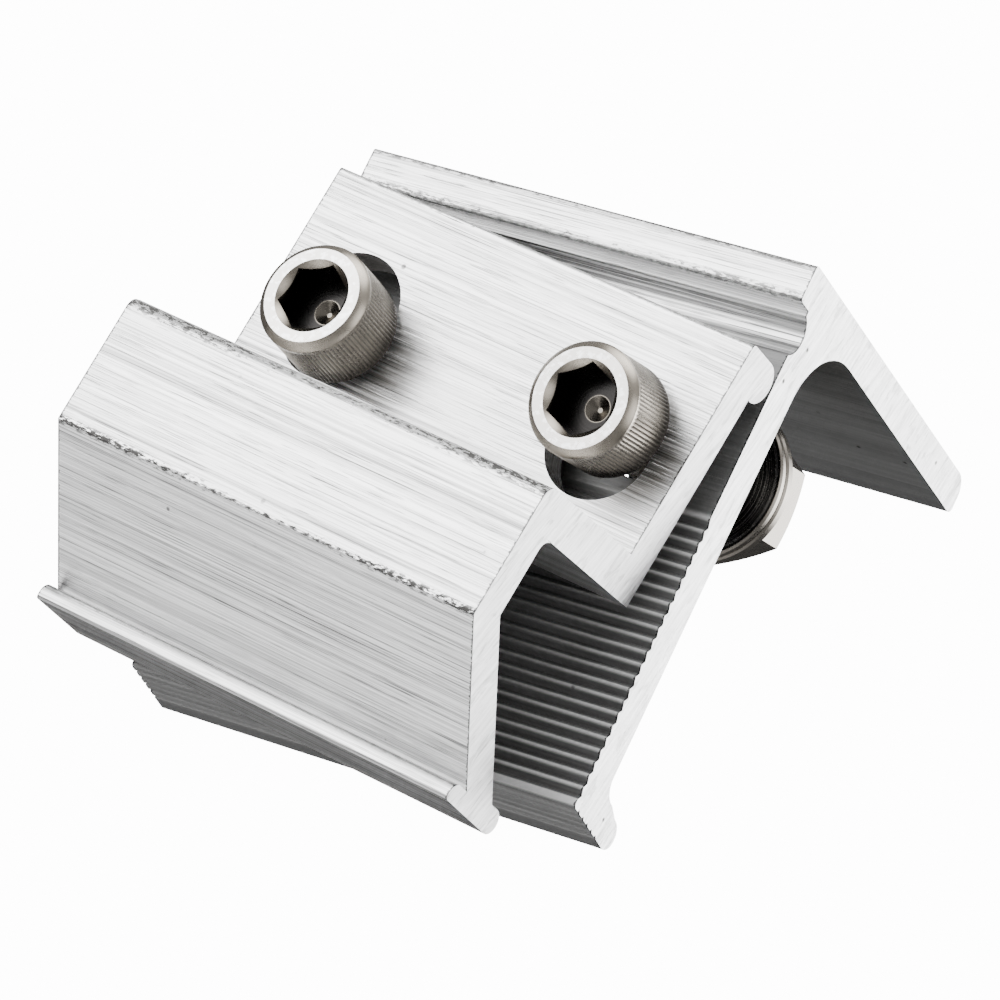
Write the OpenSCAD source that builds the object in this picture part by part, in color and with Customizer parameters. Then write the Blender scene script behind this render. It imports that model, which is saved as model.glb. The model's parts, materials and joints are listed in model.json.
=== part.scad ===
// Two-jaw clamp for the standing rib of a metal roof.
// The rear jaw stands upright along X: its toothed front face lies in the plane Y = 0,
// its flange reaches back along +Y at the top, and the screws run along Y.
// The origin is in the middle of the toothed face, where the rib is gripped.
// The front jaw hangs askew on its two loose screws, as the clamp is handed over.

/* [Both jaws] */
// Length that both extrusions are cut to
jaw_length = 80; // [78:1:120]

/* [Rear jaw] */
// Thickness of the upright plate
rear_plate_t = 7; // [5:0.5:9]
// Height of the flange's top face above the middle of the grip
seat_height = 66; // [58:1:80]
// Depth of the rear jaw below the middle of the grip
rear_depth = 24.3; // [20:0.1:32]
// Reach of the flange behind the toothed face
flange_reach = 69.3; // [50:0.1:90]
// Thickness of the flange
flange_t = 6.2; // [4:0.1:8]
// How far the flange stands out in front of the plate
nose_reach = 3.5; // [2.5:0.1:5]
// Radius of the fillet between plate and flange
inner_fillet_r = 12; // [6:0.5:16]
// Reach of the foot behind the toothed face
rear_foot_reach = 15.2; // [13:0.1:20]
// Thickness of the foot
rear_foot_t = 4.8; // [4:0.1:6]
// Drop of the foot's underside from front to back
rear_foot_drop = 1.2; // [0:0.1:2]

/* [Teeth] */
// Pitch of the teeth on the gripping face
tooth_pitch = 2.05; // [1.5:0.05:3]
// Depth of the teeth
tooth_depth = 0.65; // [0.3:0.05:1]
// Height of the highest tooth above the middle of the grip
teeth_top = 24; // [10:1:28]
// Pitch of the fine serration under the foot
foot_pitch = 1.9; // [1.5:0.1:3]
// Depth of the fine serration under the foot
foot_groove_depth = 0.45; // [0.2:0.05:0.8]

/* [Front jaw] */
// Thickness of the clamping plate
front_plate_t = 6.5; // [5:0.5:9]
// Height of the clamping plate above the leg
front_plate_h = 36.4; // [32:0.1:45]
// Thickness of the leg
leg_t = 6.2; // [4:0.1:8]
// Reach of the leg in front of the clamping plate
leg_reach = 29; // [24:0.5:40]
// Fall of the leg, in degrees
leg_fall = 3; // [0:0.5:6]
// Thickness of the upright wall
wall_t = 6.2; // [4:0.1:8]
// Depth of the bend under the leg's inner corner
bend_depth = 23.3; // [20:0.1:28]
// Slope of the slanted wall, in degrees
slant = 40.6; // [36:0.2:46]
// Thickness of the slanted wall
slant_t = 6; // [4:0.1:7]
// Depth of the foot's underside under the leg's inner corner
front_foot_depth = 46; // [44:0.5:52]
// Reach of the lip in front of the clamping plate
lip_reach = 10; // [8:0.5:14]
// Thickness of the lip
lip_t = 2.9; // [2:0.1:4]
// Reach of the toe behind the face of the clamping plate
toe_reach = 6.1; // [5:0.1:7]
// Thickness of the toe
toe_t = 4; // [3.4:0.1:4.4]

/* [Bead and groove] */
// Radius of the bead along the front jaw's top edge
bead_r = 3.3; // [2.5:0.1:3.6]
// Clearance of the bead in its groove
bead_clearance = 0.35; // [0.2:0.05:0.6]
// Distance of the groove's axis in front of the toothed face
groove_out = 1.4; // [1:0.1:2]
// Distance of the groove's axis under the flange's top face
groove_drop = 10.4; // [10:0.1:12]

/* [Screws] */
// Nominal diameter of the thread
thread_d = 12; // [10:1:14]
// Length of a screw under its head
screw_length = 50; // [45:1:60]
// Diameter of a screw head
head_d = 18; // [16:0.5:20]
// Height of a screw head
head_h = 12; // [10:0.5:14]
// Width across the flats of the socket
socket_af = 10; // [8:0.5:11]
// Depth of the socket
socket_depth = 6; // [4:0.5:8]
// Distance between the two screws
screw_spacing = 50; // [36:1:56]
// Distance of the rear jaw's screw holes under the flange's top face
rear_hole_drop = 32; // [28:0.5:36]
// Diameter of the rear jaw's screw holes
rear_hole_d = 14.5; // [14:0.1:16]
// Width of the front jaw's screw slots
slot_w = 17.6; // [17.4:0.1:18]
// Height of the front jaw's screw slots
slot_h = 21.5; // [20.5:0.1:23]
// Distance between the front jaw's two slots
slot_spacing = 51.4; // [51:0.1:52]
// Distance of the slots' middle under the top edge of the front jaw
slot_drop = 21.5; // [20.5:0.1:22.5]

/* [Washers and nuts] */
// Outer diameter of a flat washer
washer_d = 26; // [22:0.5:28]
// Thickness of a flat washer
washer_t = 1.5; // [1:0.1:2.5]
// Clearance of a washer on its screw, at the radius
washer_clearance = 0.5; // [0.3:0.05:0.8]
// Outer diameter of a nut's flange
nut_flange_d = 26.5; // [24:0.5:28]
// Thickness of the flange at its rim
nut_rim_t = 1.6; // [1.2:0.1:2.2]
// Slope of the flange's back, in degrees
nut_flange_slope = 20; // [15:1:30]
// Width across the flats of a nut
nut_af = 21; // [19:0.5:22]
// Height of a nut over its flange and hexagon
nut_h = 10; // [8:0.5:12]
// Running clearance of a nut on its thread, at the radius
nut_clearance = 0.05; // [0.03:0.01:0.1]
// Clearance between the flat washer and the nut
face_clearance = 0.05; // [0.03:0.01:0.3]
// Length of a screw that shows behind its nut
screw_showing = 7; // [3:0.5:12]

/* [Lie of the loose pieces] */
// Skew of the front jaw in the plane of its plate, in degrees
jaw_skew = 7.4; // [0:0.1:8]
// Lean of the front jaw, in degrees
jaw_lean = 2.9; // [2:0.1:4]
// Distance of the bead's axis in front of the groove's axis
bead_gap = 2.7; // [2.5:0.1:6]
// Shift of the front jaw along the rear jaw
jaw_shift = 0.7; // [0.6:0.1:1.4]
// Sag of the left screw in the rear jaw's hole
left_sag = 0.75; // [0:0.05:0.8]
// Sag of the right screw in the rear jaw's hole
right_sag = 0.1; // [0:0.05:0.2]
// Offset of the left screw towards the left in the rear jaw's hole
left_offset = 0.3; // [0.2:0.05:0.5]
// Droop of the left screw's head, in degrees
left_droop = 1.6; // [0:0.1:3]
// Droop of the right screw's head, in degrees
right_droop = 11.7; // [6:0.1:12]
// Swing of the left screw's head towards the left, in degrees
left_swing = 0.2; // [0:0.1:2]
// Swing of the right screw's head towards the left, in degrees
right_swing = 0.6; // [0:0.1:2]
// Distance of the left head's underside in front of the toothed face
left_head_out = 11.2; // [11.1:0.1:16]
// Distance of the right head's underside in front of the toothed face
right_head_out = 11.8; // [11.7:0.1:16]
// Turn of the left screw about its axis, in degrees
left_screw_turn = 20; // [0:1:60]
// Turn of the right screw about its axis, in degrees
right_screw_turn = 32; // [0:1:60]
// Turn of the left nut about its axis, in degrees
left_nut_turn = 12; // [0:1:60]
// Turn of the right nut about its axis, in degrees
right_nut_turn = 28; // [0:1:60]

/* [Hidden] */
$fa = 4;
$fs = 0.4;

over = 1;
mill_aluminium = [0.78, 0.79, 0.8];
stainless = [0.66, 0.65, 0.62];
groove_r = bead_r + bead_clearance;
bead_offset = 0.4;
// Middle of the bead behind and below the clamping plate's front and top
bead_y = front_plate_t + bead_offset;
bead_z = front_plate_h - bead_r;
thread_r = thread_d / 2;
// Depth of the nut's and the flat washer's front faces under the head
nut_depth = screw_length - screw_showing - nut_h;
washer_depth = nut_depth - face_clearance - washer_t;
hole_z = seat_height - rear_hole_drop;
edge_round = 0.6;
flange_edge_round = 1.2;
ridge_round = 2;
lip_round = 1.8;
foot_fillet_r = 3.2;
flange_end_r = 3;
nut_edge = 0.3;
nut_chamfer_angle = 30;
washer_edge = 0.3;
head_bevel = 1.2;
head_foot_round = 0.3;
screw_tip_bevel = 1.2;
socket_bevel = 1.2;
socket_mouth_edge = 0.3;
drill_depth = 0.9;
drill_r = 2;
drill_tip_r = 0.4;
foot_groove_cut = 0.05;
// Share of a tooth's pitch taken by its long upper side
tooth_slope_share = 0.6;
tooth_count = floor((teeth_top + rear_depth - edge_round) / tooth_pitch);

// Outer corner where the leg meets the upright wall
leg_drop = leg_reach * tan(leg_fall);
// Normal of the slanted wall, towards the cavity
slant_n = [sin(slant), cos(slant)];
// A point on the cavity side of the slanted wall
slant_in = [-leg_reach, -bend_depth] + slant_t * slant_n;
// Where the upright wall's inside meets the slanted wall's inside
bend_in = [-leg_reach + wall_t, slant_in[1] - (wall_t - leg_reach - slant_in[0]) * tan(slant)];
// Middle of the toe's round end
toe_end = [toe_reach - toe_t / 2, toe_t / 2 - front_foot_depth];
// Where the slanted wall's inside meets the toe's top
toe_root = [slant_in[0] + (slant_in[1] - toe_end[1] - toe_t / 2) / tan(slant), toe_end[1] + toe_t / 2];
// Where the lip's top meets the slanted wall's outside
lip_root = [-leg_reach + (front_foot_depth - lip_t - bend_depth) / tan(slant), lip_t - front_foot_depth];

// Turns a section in Y and Z into a length of extrusion along X
module extrude_x(length) {
    rotate([90, 0, 90])
        linear_extrude(height = length, center = true)
            children();
}

// Cutter that rounds a corner whose square sides run along dir[0] and dir[1]
module corner_cut(corner, dir, r) {
    inside = [min(dir[0], 0), min(dir[1], 0)] * r;
    outside = [dir[0] > 0 ? over : 0, dir[1] > 0 ? over : 0];
    difference() {
        translate(corner + inside - outside)
            square(r + over);
        translate(corner + dir * r)
            circle(r);
    }
}

// Fillet in an inside corner, filling towards dir
module corner_fill(corner, dir, r) {
    difference() {
        translate(corner + [min(dir[0], 0), min(dir[1], 0)] * r)
            square(r);
        translate(corner + dir * r)
            circle(r);
    }
}

// Section of the rear jaw, in Y and Z
module rear_section() {
    top = seat_height;
    bottom = -rear_depth;
    foot_round = rear_foot_t / 2;
    foot_end = [rear_foot_reach - foot_round, bottom - rear_foot_drop + foot_round];
    foot_top = bottom + rear_foot_t;
    difference() {
        union() {
            translate([0, bottom])
                square([rear_plate_t, top - bottom]);
            translate([-nose_reach, top - flange_t])
                square([nose_reach + flange_reach, flange_t]);
            corner_fill([rear_plate_t, top - flange_t], [1, -1], inner_fillet_r);
            polygon([
                [0, bottom],
                [foot_end[0], foot_end[1] - foot_round],
                [foot_end[0], foot_end[1] + foot_round],
                [rear_plate_t + foot_fillet_r, foot_top],
                [rear_plate_t, foot_top],
                [0, foot_top]
            ]);
            translate(foot_end)
                circle(foot_round);
            corner_fill([rear_plate_t, foot_top], [1, 1], foot_fillet_r);
        }
        translate([-groove_out, top - groove_drop])
            circle(groove_r);
        corner_cut([-nose_reach, top], [1, -1], edge_round);
        corner_cut([-nose_reach, top - flange_t], [1, 1], edge_round);
        corner_cut([flange_reach, top], [-1, -1], flange_end_r);
        corner_cut([flange_reach, top - flange_t], [-1, 1], flange_edge_round);
        corner_cut([0, bottom], [1, 1], edge_round);
        teeth();
        foot_serration();
    }
}

// Saw teeth down the front face, steep on their lower side
module teeth() {
    for (i = [0 : tooth_count - 1])
        translate([0, teeth_top - i * tooth_pitch])
            polygon([
                [-over, 0],
                [0, 0],
                [tooth_depth, -tooth_pitch * tooth_slope_share],
                [0, -tooth_pitch],
                [-over, -tooth_pitch]
            ]);
}

// Fine grooves along the underside of the foot
module foot_serration() {
    count = floor((rear_foot_reach - rear_foot_t) / foot_pitch);
    fall = rear_foot_drop / (rear_foot_reach - rear_foot_t / 2);
    for (i = [1 : count])
        translate([i * foot_pitch, -rear_depth - i * foot_pitch * fall])
            polygon([
                [-foot_groove_depth, -foot_groove_cut],
                [0, foot_groove_depth],
                [foot_groove_depth, -foot_groove_cut]
            ]);
}

// Section of the front jaw, in Y and Z, from the inner corner of plate and leg
module front_section() {
    difference() {
        union() {
            translate([0, -leg_t])
                square([front_plate_t, front_plate_h + leg_t]);
            translate([bead_y, bead_z])
                circle(bead_r);
            translate([front_plate_t / 2, front_plate_h - bead_r])
                square([bead_y - front_plate_t / 2, bead_r]);
            polygon([
                [0, 0],
                [-leg_reach, -leg_drop],
                [-leg_reach, -bend_depth],
                bend_in,
                [-leg_reach + wall_t, -leg_drop - leg_t],
                [front_plate_t, -leg_t]
            ]);
            polygon([
                [-leg_reach, -bend_depth],
                lip_root,
                [-lip_reach, lip_root[1]],
                [-lip_reach, -front_foot_depth],
                toe_end - [0, toe_t / 2],
                toe_end + [0, toe_t / 2],
                toe_root,
                bend_in
            ]);
            translate(toe_end)
                circle(toe_t / 2);
            corner_fill([-leg_reach + wall_t, -leg_drop - leg_t], [1, -1], ridge_round);
        }
        corner_cut([0, front_plate_h], [1, -1], edge_round);
        corner_cut([-leg_reach, -leg_drop], [1, -1], ridge_round);
        corner_cut([-lip_reach, lip_root[1]], [1, -1], lip_round);
        corner_cut([-lip_reach, -front_foot_depth], [1, 1], edge_round);
    }
}

// Rear jaw with its two screw holes
module rear_jaw() {
    color(mill_aluminium)
        difference() {
            extrude_x(jaw_length)
                rear_section();
            for (side = [-1, 1])
                translate([side * screw_spacing / 2, -over, hole_z])
                    rotate([-90, 0, 0])
                        cylinder(d = rear_hole_d, h = rear_plate_t + 2 * over);
        }
}

// Carries the front jaw from its own axes, at its inner corner, to where it hangs
module front_jaw_lie() {
    translate([jaw_shift - jaw_length / 2, -groove_out - bead_gap, seat_height - groove_drop])
        rotate([jaw_lean, jaw_skew, 0])
            translate([jaw_length / 2, -bead_y, -bead_z])
                children();
}

// Upright slot with round ends, through the clamping plate
module slot_cut() {
    straight = slot_h - slot_w;
    depth = front_plate_t + 2 * over;
    translate([-slot_w / 2, 0, -straight / 2])
        cube([slot_w, depth, straight]);
    for (z = [-straight / 2, straight / 2])
        translate([0, 0, z])
            rotate([-90, 0, 0])
                cylinder(d = slot_w, h = depth);
}

// Front jaw with its two screw slots
module front_jaw() {
    color(mill_aluminium)
        front_jaw_lie()
            difference() {
                extrude_x(jaw_length)
                    front_section();
                for (side = [-1, 1])
                    translate([side * slot_spacing / 2, -over, front_plate_h - slot_drop])
                        slot_cut();
            }
}

// Carries a fastener from its own axis, along Z with the head up, to its loose place.
// The axis turns about the middle of the rear jaw's hole.
module screw_lie(side) {
    droop = side < 0 ? left_droop : right_droop;
    swing = side < 0 ? left_swing : right_swing;
    sag = side < 0 ? left_sag : right_sag;
    offset = side < 0 ? -left_offset : 0;
    head_out = side < 0 ? left_head_out : right_head_out;
    along = (head_out + rear_plate_t / 2) / (cos(droop) * cos(swing));
    translate([side * screw_spacing / 2 + offset, rear_plate_t / 2, hole_z - sag])
        rotate([90 + droop, 0, -swing])
            translate([0, 0, along])
                children();
}

// Socket head screw, head up, with the head's underside in the plane Z = 0
module socket_screw() {
    socket_r = socket_af / sqrt(3);
    socket_mouth_r = socket_r + socket_mouth_edge;
    difference() {
        rotate_extrude()
            polygon([
                [0, -screw_length],
                [thread_r - screw_tip_bevel, -screw_length],
                [thread_r, screw_tip_bevel - screw_length],
                [thread_r, 0],
                [head_d / 2 - head_foot_round, 0],
                [head_d / 2, head_foot_round],
                [head_d / 2, head_h - head_bevel],
                [head_d / 2 - head_bevel, head_h],
                [0, head_h]
            ]);
        translate([0, 0, head_h - socket_depth])
            cylinder(r = socket_r, h = socket_depth + over, $fn = 6);
        translate([0, 0, head_h - socket_bevel])
            cylinder(
                r1 = socket_mouth_r - socket_bevel,
                r2 = socket_mouth_r + over,
                h = socket_bevel + over
            );
        translate([0, 0, head_h - socket_depth - drill_depth])
            cylinder(r1 = drill_tip_r, r2 = drill_r, h = drill_depth);
    }
}

// Flat washer, with its front face in the plane Z = 0
module flat_washer() {
    bore_r = thread_r + washer_clearance;
    outer_r = washer_d / 2;
    rotate_extrude()
        polygon([
            [bore_r, 0],
            [outer_r - washer_edge, 0],
            [outer_r, -washer_edge],
            [outer_r, washer_edge - washer_t],
            [outer_r - washer_edge, -washer_t],
            [bore_r, -washer_t]
        ]);
}

// Flange nut, with the flange's bearing face in the plane Z = 0 and the hexagon behind it
module flange_nut() {
    corner_r = nut_af / sqrt(3);
    flange_r = nut_flange_d / 2;
    cone_end = nut_rim_t + (flange_r - nut_af / 2) * tan(nut_flange_slope);
    chamfer = (corner_r - nut_af / 2) * tan(nut_chamfer_angle);
    bore_r = thread_r + nut_clearance;
    difference() {
        union() {
            rotate_extrude()
                polygon([
                    [0, 0],
                    [flange_r - nut_edge, 0],
                    [flange_r, -nut_edge],
                    [flange_r, -nut_rim_t],
                    [nut_af / 2, -cone_end],
                    [0, -cone_end]
                ]);
            intersection() {
                translate([0, 0, -nut_h])
                    cylinder(r = corner_r, h = nut_h - nut_rim_t / 2, $fn = 6);
                rotate_extrude()
                    polygon([
                        [0, 0],
                        [corner_r + over, 0],
                        [corner_r + over, chamfer + over * tan(nut_chamfer_angle) - nut_h],
                        [nut_af / 2, -nut_h],
                        [0, -nut_h]
                    ]);
            }
        }
        translate([0, 0, -nut_h - over])
            cylinder(r = bore_r, h = nut_h + 2 * over);
        translate([0, 0, -nut_h - over])
            cylinder(r1 = bore_r + over + nut_edge, r2 = bore_r, h = over + nut_edge);
    }
}

module screw(side) {
    color(stainless)
        screw_lie(side)
            rotate([0, 0, side < 0 ? left_screw_turn : right_screw_turn])
                socket_screw();
}

module flat(side) {
    color(stainless)
        screw_lie(side)
            translate([0, 0, -washer_depth])
                flat_washer();
}

module nut(side) {
    color(stainless)
        screw_lie(side)
            translate([0, 0, -nut_depth])
                rotate([0, 0, side < 0 ? left_nut_turn : right_nut_turn])
                    flange_nut();
}

rear_jaw();
front_jaw();
screw(-1);  // left_socket_screw
screw(1);  // right_socket_screw
flat(-1);  // left_flat_washer
flat(1);  // right_flat_washer
nut(-1);  // left_flange_nut
nut(1);  // right_flange_nut
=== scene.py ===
import json
import math

import bmesh
import bpy
from mathutils import Matrix, Vector


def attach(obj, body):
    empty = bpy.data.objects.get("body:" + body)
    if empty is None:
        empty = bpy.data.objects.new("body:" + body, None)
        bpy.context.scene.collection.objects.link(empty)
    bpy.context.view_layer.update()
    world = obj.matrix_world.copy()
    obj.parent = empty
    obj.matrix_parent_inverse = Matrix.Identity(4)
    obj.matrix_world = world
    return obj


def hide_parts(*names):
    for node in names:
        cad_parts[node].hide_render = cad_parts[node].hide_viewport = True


# Clamp for the standing rib of a metal roof: two mill finish extrusions and their stainless screws.
# Lengths are in metres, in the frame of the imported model. Those of the finishes are in millimetres.

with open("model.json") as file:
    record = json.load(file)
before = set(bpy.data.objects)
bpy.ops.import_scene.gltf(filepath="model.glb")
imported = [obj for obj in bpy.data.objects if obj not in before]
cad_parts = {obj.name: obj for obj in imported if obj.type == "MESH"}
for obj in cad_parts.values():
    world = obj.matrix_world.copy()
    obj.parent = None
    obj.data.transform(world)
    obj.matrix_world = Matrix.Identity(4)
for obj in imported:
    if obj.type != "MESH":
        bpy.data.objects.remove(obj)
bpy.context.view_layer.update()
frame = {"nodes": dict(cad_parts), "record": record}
joints = {joint["name"]: joint for joint in frame["record"]["behaviour"]["joints"]}

MM = 0.001

# Lie of the front jaw: its skew, its lean and the left end of the bead's axis, here and in its own section
JAW_SKEW = math.radians(7.4)
JAW_LEAN = math.radians(2.9)
BEAD_LEFT_END = Vector((-39.3, -4.1, 55.6)) * MM
BEAD_IN_SECTION = Vector((-40, 6.9, 33.1)) * MM

# Screws: how far each head's underside stands out, and the turn of its socket
HEAD_OUT = {"left": 11.2 * MM, "right": 11.8 * MM}
SCREW_TURN = {"left": math.radians(20), "right": math.radians(32)}

# Sizes of a screw, head up, with the head's underside at height 0
HEAD_R = 9 * MM
HEAD_H = 12 * MM
HEAD_BEVEL = 1.2 * MM
HEAD_FOOT_ROUND = 0.3 * MM
SOCKET_FLAT_R = 5 * MM
SOCKET_CORNER_R = SOCKET_FLAT_R / math.cos(math.pi / 6)
SOCKET_CHAMFER = 0.3 * MM
SOCKET_MOUTH_R = SOCKET_CORNER_R + SOCKET_CHAMFER
SOCKET_DEPTH = 6 * MM
CUP_R = 2 * MM
CUP_TIP_R = 0.4 * MM
CUP_DEPTH = 0.9 * MM
KNURL_LOW = 0.9 * MM
KNURL_HIGH = 9.9 * MM
KNURL_RUN = 0.4 * MM
KNURL_DEPTH = 0.16 * MM
KNURL_COUNT = 90
SHANK_R = 6 * MM
PLAIN_SHANK = 14 * MM
SCREW_LENGTH = 50 * MM
TIP_R = 4.6 * MM
TIP_LENGTH = 0.95 * MM
THREAD_PITCH = 1.75 * MM
THREAD_ROOT_R = 5.05 * MM
THREAD_TOP = 0.3 * MM - PLAIN_SHANK
THREAD_BOTTOM = 1.2 * MM - SCREW_LENGTH

# One turn of the thread in section: radius, and share of the pitch
THREAD_SECTION = [
    (THREAD_ROOT_R, 0),
    (SHANK_R, 0.31),
    (SHANK_R, 0.44),
    (THREAD_ROOT_R, 0.75),
    (THREAD_ROOT_R, 1),
]

# Steps round a screw's body and round each turn of its thread
STEPS_ROUND = 4 * KNURL_COUNT
THREAD_STEPS = 48

# Points closer than this are one, and edges that bend more than this are sharp
TOUCHING = 0.01 * MM
SHARP_EDGE = math.radians(28)


# Camera

# Focal length in pixels of a picture 1000 wide, and the camera's place and axes
FOCAL_PX = 6649.7
PICTURE_PX = 1000
SENSOR_MM = 36
CAMERA_AT = Vector((497.58, -821.33, -259.14)) * MM
CAMERA_RIGHT = Vector((0.8344, 0.3584, 0.4186))
CAMERA_BACK = Vector((0.4934, -0.8243, -0.2778))


def make_camera():
    """The photograph's camera: low, to the right of the front, and rolled."""
    back = CAMERA_BACK.normalized()
    right = (CAMERA_RIGHT - CAMERA_RIGHT.dot(back) * back).normalized()
    up = back.cross(right)
    data = bpy.data.cameras.new("camera")
    data.sensor_width = SENSOR_MM
    data.lens = SENSOR_MM * FOCAL_PX / PICTURE_PX
    data.clip_start = 0.05
    data.clip_end = 100
    camera = bpy.data.objects.new("camera", data)
    bpy.context.collection.objects.link(camera)
    turn = Matrix((right, up, back)).transposed().to_4x4()
    camera.matrix_world = Matrix.Translation(CAMERA_AT) @ turn
    bpy.context.scene.camera = camera


make_camera()


# Shader helpers

class Value:
    """A socket with arithmetic: an expression on values adds its Math nodes."""

    def __init__(self, tree, socket):
        self.tree = tree
        self.socket = socket

    def math(self, operation, *others):
        return self.tree.value("ShaderNodeMath", {"operation": operation}, dict(enumerate((self,) + others)))

    def __add__(self, other):
        return self.math("ADD", other)

    def __mul__(self, other):
        return self.math("MULTIPLY", other)

    def __sub__(self, other):
        return self.math("SUBTRACT", other)

    def __rsub__(self, other):
        return (self * -1) + other

    def __pow__(self, other):
        return self.math("POWER", other)

    def __abs__(self):
        return self.math("ABSOLUTE")

    __radd__ = __add__
    __rmul__ = __mul__

    def clamped(self):
        """Cut off below 0 and above 1."""
        return self.math("MAXIMUM", 0.0).math("MINIMUM", 1.0)

    def step(self, low, high):
        """0 below low, 1 above high and smooth between; low may be the higher one."""
        if low > high:
            return 1 - self.step(high, low)
        return self.tree.value(
            "ShaderNodeMapRange", {"interpolation_type": "SMOOTHSTEP"},
            {"Value": self, "From Min": low, "From Max": high})

    def within(self, low, high, soft):
        """1 between low and high, falling to 0 over soft outside them."""
        return self.step(low - soft, low) * self.step(high + soft, high)


class Tree:
    """The nodes of one material or of the world."""

    def __init__(self, owner, output):
        self.owner = owner
        owner.use_nodes = True
        self.nodes = owner.node_tree.nodes
        self.links = owner.node_tree.links
        self.nodes.clear()
        self.output = self.node(output)

    def node(self, kind, settings=None, values=None):
        """Adds a node: its settings first, then the values or links of its sockets."""
        made = self.nodes.new(kind)
        for name, setting in (settings or {}).items():
            setattr(made, name, setting)
        for key, given in (values or {}).items():
            socket = made.inputs[key]
            if isinstance(given, Value):
                self.links.new(given.socket, socket)
            else:
                socket.default_value = given
        return made

    def value(self, kind, settings=None, values=None, output=0):
        return Value(self, self.node(kind, settings, values).outputs[output])

    def vector(self, x, y, z):
        return self.value("ShaderNodeCombineXYZ", None, {"X": x, "Y": y, "Z": z})

    def dot(self, vector, axis):
        return self.value("ShaderNodeVectorMath", {"operation": "DOT_PRODUCT"}, {0: vector, 1: axis}, "Value")

    def noise(self, place, scale, detail=2.0, roughness=0.5, warp=0.0):
        return self.value(
            "ShaderNodeTexNoise", {"noise_dimensions": "3D"},
            {"Vector": place, "Scale": scale, "Detail": detail, "Roughness": roughness, "Distortion": warp})

    def cells(self, place, scale):
        """Distance to the middle of the nearest cell."""
        return self.value(
            "ShaderNodeTexVoronoi", {"feature": "F1"}, {"Vector": place, "Scale": scale}, "Distance")

    def mix(self, factor, first, second):
        """Mixes two colours, each given as a grey, three numbers or a link."""
        return self.value(
            "ShaderNodeMix", {"data_type": "RGBA"}, {0: factor, 6: colour(first), 7: colour(second)}, 2)

    def finish(self, color, roughness, metallic, height=None, relief=0.0):
        """The Principled shader, with a bump from height times relief, which is in millimetres."""
        values = {"Base Color": color, "Roughness": roughness, "Metallic": metallic}
        if height is not None:
            values["Normal"] = self.value(
                "ShaderNodeBump", None, {"Strength": 1.0, "Distance": relief * MM, "Height": height})
        shader = self.value("ShaderNodeBsdfPrincipled", None, values)
        self.links.new(shader.socket, self.output.inputs["Surface"])
        return self.owner


def material_tree(name):
    return Tree(bpy.data.materials.new(name), "ShaderNodeOutputMaterial")


def colour(given):
    if isinstance(given, Value):
        return given
    if isinstance(given, (int, float)):
        return (given, given, given, 1)
    return (*given, 1)


def highest(first, *others):
    for other in others:
        first = first.math("MAXIMUM", other)
    return first


class Place:
    """Coordinates in a piece's own axes, in millimetres: x, y and z, and how far the surface faces each."""

    def __init__(self, tree, turn, origin):
        self.tree = tree
        coordinates = tree.node("ShaderNodeTexCoord")
        moved = tree.value(
            "ShaderNodeVectorMath", {"operation": "SUBTRACT"},
            {0: Value(tree, coordinates.outputs["Object"]), 1: origin})
        normal = Value(tree, coordinates.outputs["Normal"])
        axes = turn.transposed()
        self.x, self.y, self.z = (tree.dot(moved, axis) * (1 / MM) for axis in axes)
        self.facing_x, self.facing_y, self.facing_z = (tree.dot(normal, axis) for axis in axes)
        self.point = tree.vector(self.x, self.y, self.z)

    def radius(self):
        """Distance from the z axis."""
        return (self.x * self.x + self.y * self.y) ** 0.5

    def streaks(self, scale, stretch, detail=2.0, offset=0.0):
        """Noise drawn out along x; scale is in lines to the millimetre."""
        along = self.x * stretch + offset
        return self.tree.noise(self.tree.vector(along, self.y, self.z), scale, detail)

    def near(self, y, z, reach):
        """1 at a line along x, falling to 0 at reach from it."""
        away = ((self.y - y) * (self.y - y) + (self.z - z) * (self.z - z)) ** 0.5
        return away.step(reach, 0.25 * reach)


# Mill finish aluminium

# Half the length of each extrusion. The burr beside a saw cut is as wide as its reach times noise, less a gap
HALF_LENGTH = 40
BURR_REACH = 1.1
BURR_GAP = 0.25

# Lean of the saw marks, as a cosine and a sine
SAW_COS = 0.97
SAW_SIN = 0.24

# Greys of the drawn surface, of painted shade, of metal brightened by rubbing and by painted highlight, of
# worn metal, and of the sawn ends and their burr
DRAWN_DARK = 0.12
DRAWN_LIGHT = 0.97
SHADED = 0.05
BRIGHTENED = 0.95
WORN = 0.96
SAWN_DARK = 0.34
SAWN_LIGHT = 0.93
BURR = 0.06

# Colour of the dirt, and height of the relief that lines and scuffs make
DIRT = (0.04, 0.038, 0.035)
ALUMINIUM_RELIEF = 0.06

# Scuffed ridges of both sections: the line's y and z, the reach of the scuffs and how scuffed it is
REAR_RIDGES = {
    "upper edge of the nose": (-3.2, 66, 1.2, 0.8),
    "lower edge of the nose": (-3.2, 60, 1.5, 0.6),
    "lower edge of the flange": (69, 60, 1.2, 0.6),
}
FRONT_RIDGES = {
    "leg to upright wall": (-28.5, -2.2, 1.9, 1.0),
    "upright to slanted wall": (-29, -23.3, 1.1, 1.0),
    "top edge of the plate": (0, 36.4, 0.8, 0.6),
    "top edge of the lip": (-9.5, -43.4, 0.9, 0.3),
}

# Zones of the rear jaw: the gripping face, the top of its teeth, the bead's groove, the foot's sole and
# the space under the flange
GRIP_Y = (-0.6, 1)
GRIP_TOP_Z = 54
TEETH_TOP_Z = 24
GROOVE_Z = (52.5, 58.5)
GROOVE_BACK_Y = 2
SOLE_Z = -23.6
UNDER_FLANGE_Y = 8

# Zones of the front jaw: how low the underside of its leg comes, and its bead's reach and side to the groove
LEG_LOWEST_Z = -10
BEAD_REACH = 8
BEAD_BACK_Y = 7


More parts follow.
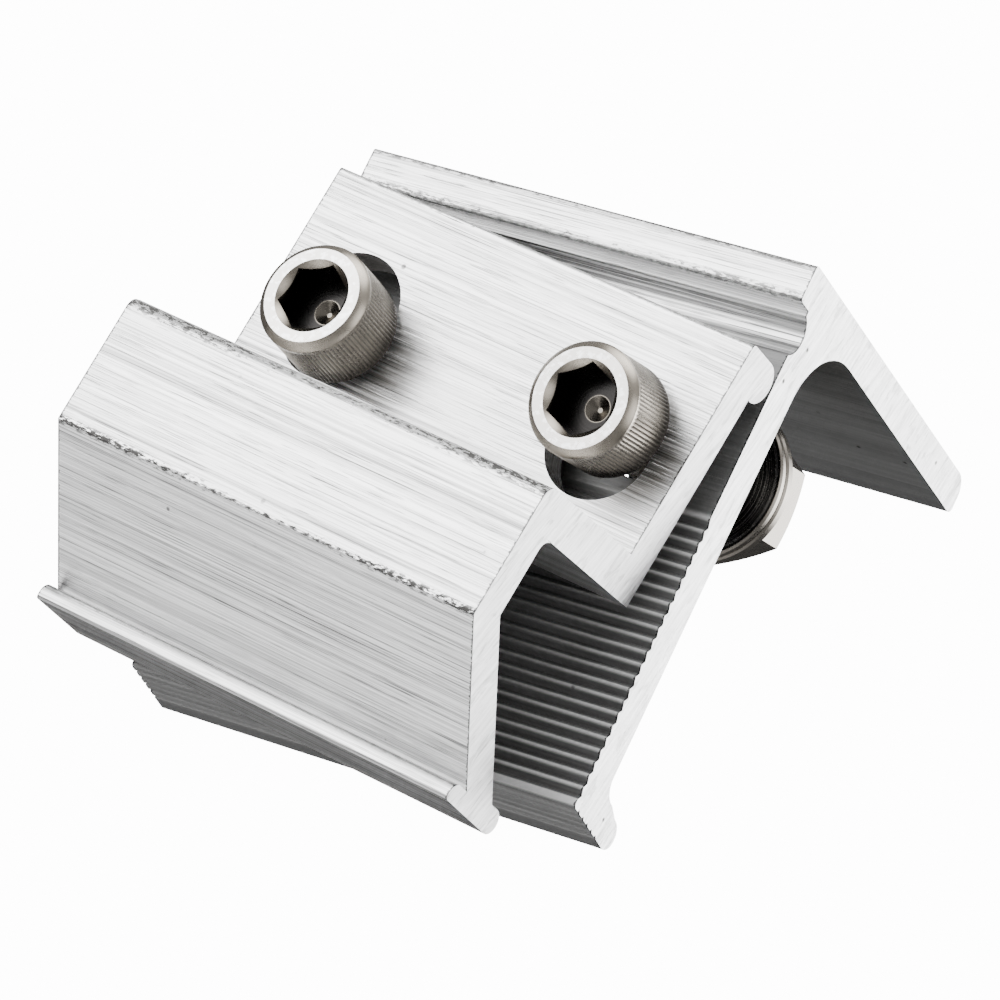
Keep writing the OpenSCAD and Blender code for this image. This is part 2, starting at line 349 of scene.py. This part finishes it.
def drawn_lines(place):
    """Lines along the extrusion: fine and long ones, and bright and dark hairs."""
    fine = place.streaks(4.0, 0.004)
    long_lines = place.streaks(1.3, 0.002, offset=3.0)
    hairs = place.streaks(5.0, 0.008, 1.0, 17.0)
    dashes = place.streaks(5.0, 0.016, offset=29.0)
    dark_hairs = highest(hairs.step(0.36, 0.3), dashes.step(0.36, 0.28))
    return fine, long_lines, hairs.step(0.64, 0.7), dark_hairs


def sawn_end(tree, place):
    """The colour of a sawn end and the height of its saw marks."""
    across = place.z * SAW_COS + place.y * SAW_SIN
    down = place.y * SAW_COS - place.z * SAW_SIN
    marks = tree.noise(tree.vector(across * 0.07, down, 0.0), 1.6, 4.0, 0.6)
    smears = tree.noise(tree.vector(across * 0.3, down, 4.0), 0.5, 4.0, 0.65, 0.6)
    shade = 0.78 + (marks - 0.5) * 1.5 - smears.step(0.53, 0.62) * 0.35
    return tree.mix(shade.clamped(), SAWN_DARK, SAWN_LIGHT), marks


def ridge_marks(tree, place, ridges):
    """Dirt and worn metal along the ridges, and the ragged line beside the saw cuts."""
    ragged = tree.noise(tree.vector(place.x * 0.35, place.y, place.z), 2.2, 4.0, 0.7)
    outer_part = abs(place.x).step(6, 30)
    scuffed = highest(*(place.near(y, z, reach) * amount for y, z, reach, amount in ridges.values()))
    crease = highest(*(place.near(y, z, 0.4 * reach) * amount for y, z, reach, amount in ridges.values()))
    dirt = scuffed * (ragged + outer_part * 0.1 + crease * 0.06).step(0.6, 0.65)
    dirt = highest(dirt, crease * ragged.step(0.44, 0.56) * 0.7)
    worn = scuffed * ragged.step(0.42, 0.36)
    burr = (abs(place.x) - (HALF_LENGTH + BURR_GAP - ragged * BURR_REACH)).step(0.0, 0.1)
    return dirt, worn, burr


def mill_aluminium(name, turn, origin, ridges, shaded):
    """Mill finish extrusion: drawn lines, scuffed ridges, dirt in the grain and sawn ends.

    From a place, shaded says how much painted shade darkens the metal there, how dull it is, and how much
    rubbing and painted highlight brighten it.
    """
    tree = material_tree(name)
    place = Place(tree, turn, origin)
    end = abs(place.facing_x).step(0.6, 0.9)
    drawn = 1 - end
    dark, dull, brightened = shaded(place)

    # Drawn surface
    fine, long_lines, bright_hairs, dark_hairs = drawn_lines(place)
    bands = place.streaks(0.3, 0.004, 1.0, 9.0)
    patches = (tree.noise(place.point, 0.07, 3.0) - 0.5) * 0.3
    lines = (fine - 0.5) * 1.8 + (long_lines - 0.5) * 1.4 - dark_hairs * 0.45 + bright_hairs * 0.4
    shade = 0.66 + lines * (1 - dull * 0.7) + (bands - 0.5) * 0.5 + patches
    color = tree.mix(shade.clamped(), DRAWN_DARK, DRAWN_LIGHT)
    # Painted shade darkens the metal; rubbing and painted highlight brighten it
    color = tree.mix(brightened, tree.mix(dark, color, SHADED), BRIGHTENED)

    # Sawn ends, and the marks of use
    cut, saw_marks = sawn_end(tree, place)
    color = tree.mix(end, color, cut)
    dirt, worn, burr = (mark * drawn for mark in ridge_marks(tree, place, ridges))
    pits = tree.cells(place.point, 0.2).step(0.1, 0.05) * tree.noise(place.point, 0.05, 1.0).step(0.55, 0.65)
    soiled = highest(dirt, pits)
    color = tree.mix(soiled * 0.95, color, DIRT)
    color = tree.mix(burr * 0.9, color, BURR)
    color = tree.mix(worn * 0.8, color, WORN)

    roughness = 0.34 + (fine - 0.5) * 0.3 + end * 0.12 + dirt * 0.3 + patches * 0.4
    roughness = roughness + dull * drawn * 0.3
    height = fine * 0.6 + long_lines * 0.8 + (bright_hairs - dark_hairs) * 0.3 - soiled * 0.8
    height = height * drawn + end * saw_marks * 1.5
    metallic = 1 - highest(dirt * 0.6, brightened * drawn * 0.7)
    return tree.finish(color, roughness, metallic, height, ALUMINIUM_RELIEF)


def rear_shaded(place):
    """Painted shade with duller metal between the jaws, under the flange, on the sole and in streaks in the
    groove; crests painted bright, most at one end, as a highlight and from rubbing.
    """
    gripping = place.y.within(*GRIP_Y, 0.2) * place.z.step(GRIP_TOP_Z + 2, GRIP_TOP_Z)
    # Crests painted bright, most towards one end, as a painted highlight and partly as rubbing
    crests = place.y.step(0.3, 0.0) * place.z.step(TEETH_TOP_Z + 1, TEETH_TOP_Z)
    brightened = crests * (place.x - place.z * 0.4).step(4, 42)
    under_flange = place.facing_z.step(-0.7, -0.9) * place.y.step(UNDER_FLANGE_Y, UNDER_FLANGE_Y + 2)
    sole = place.z.step(SOLE_Z + 0.3, SOLE_Z)
    groove = place.z.within(*GROOVE_Z, 1) * place.y.step(GROOVE_BACK_Y + 0.5, GROOVE_BACK_Y)
    groove_streaks = place.streaks(0.9, 0.02, 3.0, 41.0).step(0.46, 0.6)
    # Painted shade between the jaws, under the flange, on the foot's sole, and in streaks in the bead's
    # groove
    dark = highest(gripping * 0.7, under_flange * 0.76, sole * 0.65, groove * groove_streaks * 0.5)
    return dark, highest(gripping, under_flange, sole), gripping * brightened


def front_shaded(place):
    """Painted shade and duller metal on the inner side of the plate and the folded leg, and a bead brightened
    by rubbing in its groove.
    """
    # Painted shade on the inner side and on the underside of the leg
    underside = place.facing_z.step(-0.8, -0.95) * place.z.step(LEG_LOWEST_Z - 2, LEG_LOWEST_Z)
    inner = highest(place.facing_y.step(0.3, 0.6), underside)
    round_bead = place.near(BEAD_IN_SECTION.y / MM, BEAD_IN_SECTION.z / MM, BEAD_REACH)
    brightened = round_bead * place.y.step(BEAD_BACK_Y - 0.4, BEAD_BACK_Y)
    return inner * 0.3, inner, brightened * 0.4


# Stainless steel

# Colours of the steel from the lathe, and on a head those of the painted shade in the knurl's grooves, at the
# foot and in the socket, and of the ring painted light
STEEL_DARK = (0.06, 0.054, 0.045)
STEEL_LIGHT = (0.5, 0.452, 0.385)
KNURL_SHADE = (0.04, 0.036, 0.03)
FOOT_SHADE = (0.03, 0.027, 0.023)
SOCKET_DARK = (0.012, 0.012, 0.013)
RING_LIGHT = 0.9

# Greys of the washer and nut, and of the painted shade on the face towards the jaw, with lighter rings,
# partly lathe marks and partly painted highlights, which ends at a radius
WASHER_GREY = 0.15
FACE_DARK = 0.012
FACE_LIGHT = 0.11
FACE_R = 12.5

# Height of the relief that specks, smudges and rings make
STEEL_RELIEF = 0.012


def turned_rings(tree, place):
    """Noise in rings about the axis."""
    return tree.noise(tree.vector(place.radius(), place.z * 0.05, 0.0), 3.5)


def flat_end(place):
    """1 on what faces along the axis."""
    return abs(place.facing_z).step(0.8, 0.95)


def head_marks(tree, place, color):
    """Painted shade in the knurl's grooves, at the head's foot and in the socket, and flat ends painted
    light, most the bright ring round the socket.
    """
    radius = place.radius()
    inside = (radius - SOCKET_MOUTH_R / MM).step(0.02, -0.1) * place.z.step(0, 4)
    low = place.z.step(HEAD_H / MM - 0.4, HEAD_H / MM - 1.6)
    cup = radius.step(CUP_R / MM + 0.2, CUP_R / MM)
    grooves = (place.y.math("ARCTAN2", place.x) * KNURL_COUNT).math("COSINE").step(-0.2, 0.8)
    rim = radius.step(HEAD_R / MM - 0.4, HEAD_R / MM - 0.3)
    knurl = place.z.within(KNURL_LOW / MM, KNURL_HIGH / MM, 0.2) * rim
    foot = place.z.step(-0.1, 0.1) * place.z.step(5.5, 0.3) * (1 - inside)
    worn = tree.noise(place.point, 1.2, 3.0).step(0.5, 0.62)
    # Painted shade in the knurl's grooves
    color = tree.mix(knurl * grooves * 0.42, color, KNURL_SHADE)
    # Painted shade on the lower part of the head's side and deep in the socket, less on the drill cup
    color = tree.mix(foot * 0.85, color, FOOT_SHADE)
    color = tree.mix(inside * low * (0.97 - cup * 0.5), color, SOCKET_DARK)
    # Flat ends painted lighter than the sides, as where the light falls, most the ring round the socket, in
    # patches of wear
    return tree.mix(flat_end(place) * (1 - inside) * (0.5 + worn * 0.4), color, RING_LIGHT)


def washer_marks(tree, place, color):
    """Darker metal, and on the face towards the jaw painted shade in fine lighter rings, partly lathe marks
    and partly painted highlights.
    """
    face = place.facing_z.step(0.9, 0.97) * place.radius().step(FACE_R + 0.2, FACE_R)
    # The face towards the jaw painted near black as shade, its lighter rings partly lathe marks and partly
    # painted highlights
    shaded_face = tree.mix(turned_rings(tree, place).step(0.42, 0.66), FACE_DARK, FACE_LIGHT)
    return tree.mix(face, tree.mix(0.4, color, WASHER_GREY), shaded_face)


def stainless(name, matrix, marks):
    """Turned stainless steel with faint rings, tool marks and handling smudges, and a piece's own marks."""
    tree = material_tree(name)
    place = Place(tree, matrix.to_3x3(), matrix.translation)
    smudge = tree.noise(place.point, 0.25, 4.0, 0.6)
    speck = tree.noise(place.point, 3.5)
    rings = turned_rings(tree, place)
    flat = flat_end(place)
    shade = 0.65 + (smudge - 0.5) * 0.35 + (rings - 0.5) * 0.3 * flat - speck.step(0.64, 0.75) * 0.1
    color = tree.mix(shade.step(0.0, 1.0), STEEL_DARK, STEEL_LIGHT)
    roughness = 0.24 + (smudge - 0.5) * 0.2 + speck * 0.08
    height = speck * 0.2 + smudge * 0.3 + rings * flat
    return tree.finish(marks(tree, place, color), roughness, 1.0, height, STEEL_RELIEF)


# Screws, modelled head up along their own axis and then laid in their holes

def screw_matrix(side):
    """Carries a screw from its own axis to its place; the nut's hinge gives the axis."""
    hinge = joints[side + "_nut_turn"]
    up = Vector(hinge["axis"]).normalized()
    across = Vector((0, 0, 1)).cross(up).normalized()
    turn = Matrix((across, up.cross(across), up)).transposed().to_4x4()
    middle = Vector(hinge["pos_m"])
    along = (HEAD_OUT[side] + middle.y) / -up.y
    return Matrix.Translation(middle + up * along) @ turn @ Matrix.Rotation(SCREW_TURN[side], 4, "Z")


def make_chain(form, points):
    """Joins radius and height points by edges, ready to be spun about the axis."""
    chain = [form.verts.new((radius, 0, height)) for radius, height in points]
    return chain + [form.edges.new(pair) for pair in zip(chain, chain[1:])]


def make_body(form):
    """Head, shank and root of the thread, with the hexagon socket and the knurl pressed in."""
    socket_floor = HEAD_H - SOCKET_DEPTH
    profile = make_chain(form, [
        (0, socket_floor - CUP_DEPTH),
        (CUP_TIP_R, socket_floor - CUP_DEPTH),
        (CUP_R, socket_floor),
        (SOCKET_CORNER_R, socket_floor),
        (SOCKET_CORNER_R, HEAD_H - SOCKET_CHAMFER),
        (SOCKET_MOUTH_R, HEAD_H),
        (HEAD_R - HEAD_BEVEL, HEAD_H),
        (HEAD_R - 0.25 * HEAD_BEVEL, HEAD_H - 0.55 * HEAD_BEVEL),
        (HEAD_R, HEAD_H - HEAD_BEVEL),
        (HEAD_R, KNURL_HIGH + KNURL_RUN),
        (HEAD_R, KNURL_HIGH),
        (HEAD_R, KNURL_LOW),
        (HEAD_R, KNURL_LOW - KNURL_RUN),
        (HEAD_R, HEAD_FOOT_ROUND),
        (HEAD_R - HEAD_FOOT_ROUND, 0),
        (SHANK_R, 0),
        (SHANK_R, -PLAIN_SHANK),
        (THREAD_ROOT_R, THREAD_ROOT_R - SHANK_R - PLAIN_SHANK),
        (THREAD_ROOT_R, TIP_LENGTH - SCREW_LENGTH),
        (TIP_R, -SCREW_LENGTH),
        (0, -SCREW_LENGTH),
    ])
    bmesh.ops.spin(
        form, geom=profile, cent=(0, 0, 0), axis=(0, 0, 1), angle=2 * math.pi, steps=STEPS_ROUND,
        use_merge=True, use_duplicate=False)
    sixth = math.pi / 3
    for vertex in form.verts:
        x, y, z = vertex.co
        radius = math.hypot(x, y)
        angle = math.atan2(y, x)
        if abs(radius - SOCKET_CORNER_R) < TOUCHING and z > socket_floor - TOUCHING:
            wall_r = SOCKET_FLAT_R / math.cos(angle % sixth - sixth / 2)
            vertex.co.xy *= wall_r / radius
            if z > socket_floor + TOUCHING:
                vertex.co.z = HEAD_H - (SOCKET_MOUTH_R - wall_r)
        elif KNURL_LOW - TOUCHING < z < KNURL_HIGH + TOUCHING and radius > HEAD_R - TOUCHING:
            groove = 0.5 + 0.5 * math.cos(angle * KNURL_COUNT)
            vertex.co.xy *= 1 - KNURL_DEPTH * groove / HEAD_R


def make_thread(form):
    """One turn's section of the thread wound down the shank, fading out at both ends."""
    turns = math.floor((THREAD_TOP - THREAD_BOTTOM) / THREAD_PITCH) - 1
    points = [(radius, THREAD_TOP - share * THREAD_PITCH) for radius, share in THREAD_SECTION]
    bmesh.ops.spin(
        form, geom=make_chain(form, points), cent=(0, 0, 0), axis=(0, 0, 1),
        dvec=(0, 0, -THREAD_PITCH / THREAD_STEPS), angle=2 * math.pi * turns, steps=THREAD_STEPS * turns,
        use_merge=False, use_duplicate=False)
    bmesh.ops.remove_doubles(form, verts=form.verts, dist=TOUCHING)
    low = THREAD_TOP - (turns + 1) * THREAD_PITCH
    for vertex in form.verts:
        radius = vertex.co.xy.length
        if radius > THREAD_ROOT_R:
            from_end = min(THREAD_TOP - vertex.co.z, vertex.co.z - low) / THREAD_PITCH
            crest = THREAD_ROOT_R + (radius - THREAD_ROOT_R) * min(max(from_end - 0.1, 0), 1)
            vertex.co.xy *= crest / radius


def mesh_from(form, name, matrix):
    """Places a form, smooths it except at its sharp edges and makes a mesh of it."""
    bmesh.ops.recalc_face_normals(form, faces=form.faces)
    for face in form.faces:
        face.smooth = True
    for edge in form.edges:
        edge.smooth = len(edge.link_faces) != 2 or edge.calc_face_angle() < SHARP_EDGE
    bmesh.ops.transform(form, matrix=matrix, verts=form.verts)
    mesh = bpy.data.meshes.new(name)
    form.to_mesh(mesh)
    form.free()
    return mesh


def make_screw(side):
    """Knurled socket head screw with a rolled thread, in place of the plain solid."""
    matrix = screw_matrix(side)
    name = side + "_socket_head_screw"
    body = bmesh.new()
    make_body(body)
    thread = bmesh.new()
    make_thread(thread)
    wound = mesh_from(thread, name + " thread", Matrix.Identity(4))
    body.from_mesh(wound)
    bpy.data.meshes.remove(wound)
    mesh = mesh_from(body, name, matrix)
    mesh.materials.append(stainless(name + " steel", matrix, head_marks))
    screw = bpy.data.objects.new(name, mesh)
    bpy.context.collection.objects.link(screw)
    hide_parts(side + "_socket_screw")
    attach(screw, side + "_screw")


# Pieces

def assign(node, metal):
    for entry in frame["nodes"][node].material_slots:
        entry.material = metal


jaw_turn = Matrix.Rotation(JAW_SKEW, 3, "Y") @ Matrix.Rotation(JAW_LEAN, 3, "X")
jaw_origin = BEAD_LEFT_END - jaw_turn @ BEAD_IN_SECTION
assign("rear_jaw", mill_aluminium(
    "mill aluminium rear", Matrix.Identity(3), Vector((0, 0, 0)), REAR_RIDGES, rear_shaded))
assign("front_jaw", mill_aluminium("mill aluminium front", jaw_turn, jaw_origin, FRONT_RIDGES, front_shaded))
for side in ("left", "right"):
    make_screw(side)
    steel = stainless(side + " washer and nut steel", screw_matrix(side), washer_marks)
    assign(side + "_flat_washer", steel)
    assign(side + "_flange_nut", steel)


# Studio

FLOOR_Z = -1.1
FLOOR_HALF = 1.3
FLOOR_DARK = 0.78
FLOOR_LIGHT = 0.82

# Soft lights: the direction that each shines from, its distance, its width and its radiance
LIGHTS = {
    "front soft light": ((-0.5, -0.84, 0.22), 1.3, 1.3, 1.15),
    "end soft light": ((0.6, 0.75, 0.35), 1.4, 1.0, 1.6),
    "top soft light": ((0.1, -0.3, 1.0), 1.4, 1.2, 0.9),
    "side soft light": ((1.0, -0.3, 0.1), 1.4, 1.0, 0.4),
    "low soft light": ((-0.5, -0.04, -0.86), 0.95, 0.8, 0.28),
}
LIGHT_AIM = Vector((0, 0, 20)) * MM
LIGHT_SPREAD = math.radians(70)

# The direction that the studio is brightest in, the world's light there and opposite, and the backdrop's
BRIGHT_SIDE = Vector((0.1, -0.62, 0.78)).normalized()
BRIGHTEST = 0.55
DARKEST = 0.09
BACKDROP = 14.0


def make_stage():
    """A pale floor well below the clamp."""
    mesh = bpy.data.meshes.new("floor")
    form = bmesh.new()
    bmesh.ops.create_grid(form, x_segments=1, y_segments=1, size=FLOOR_HALF)
    bmesh.ops.translate(form, verts=form.verts, vec=(0, 0, FLOOR_Z))
    form.to_mesh(mesh)
    form.free()
    floor = bpy.data.objects.new("floor", mesh)
    bpy.context.collection.objects.link(floor)
    tree = material_tree("pale floor")
    coordinates = tree.node("ShaderNodeTexCoord")
    cloud = tree.noise(Value(tree, coordinates.outputs["Object"]), 3.0)
    mesh.materials.append(tree.finish(tree.mix(cloud, FLOOR_DARK, FLOOR_LIGHT), 0.9 - cloud * 0.1, 0.0))


def make_light(name, towards, distance, width, radiance):
    """A square soft light that lies towards a direction and shines back at the clamp."""
    data = bpy.data.lights.new(name, "AREA")
    data.size = width
    data.energy = radiance * width * width * math.pi
    data.spread = LIGHT_SPREAD
    light = bpy.data.objects.new(name, data)
    bpy.context.collection.objects.link(light)
    way = Vector(towards).normalized()
    turn = way.to_track_quat("Z", "Y").to_matrix().to_4x4()
    light.matrix_world = Matrix.Translation(way * distance + LIGHT_AIM) @ turn


def make_world():
    """White behind the clamp; darker from behind and below in what the metal reflects."""
    world = bpy.data.worlds.new("world")
    bpy.context.scene.world = world
    tree = Tree(world, "ShaderNodeOutputWorld")
    coordinates = tree.node("ShaderNodeTexCoord")
    bright = tree.dot(Value(tree, coordinates.outputs["Generated"]), BRIGHT_SIDE).step(-0.75, 0.9)
    lit = tree.value("ShaderNodeBackground", None, {"Color": tree.mix(bright, DARKEST, BRIGHTEST)})
    seen = tree.value("ShaderNodeBackground", None, {"Color": colour(1.0), "Strength": BACKDROP})
    path = tree.node("ShaderNodeLightPath")
    camera_ray = Value(tree, path.outputs["Is Camera Ray"])
    choose = tree.value("ShaderNodeMixShader", None, {0: camera_ray, 1: lit, 2: seen})
    tree.links.new(choose.socket, tree.output.inputs["Surface"])


make_stage()
make_world()
for name, (towards, distance, width, radiance) in LIGHTS.items():
    make_light(name, towards, distance, width, radiance)
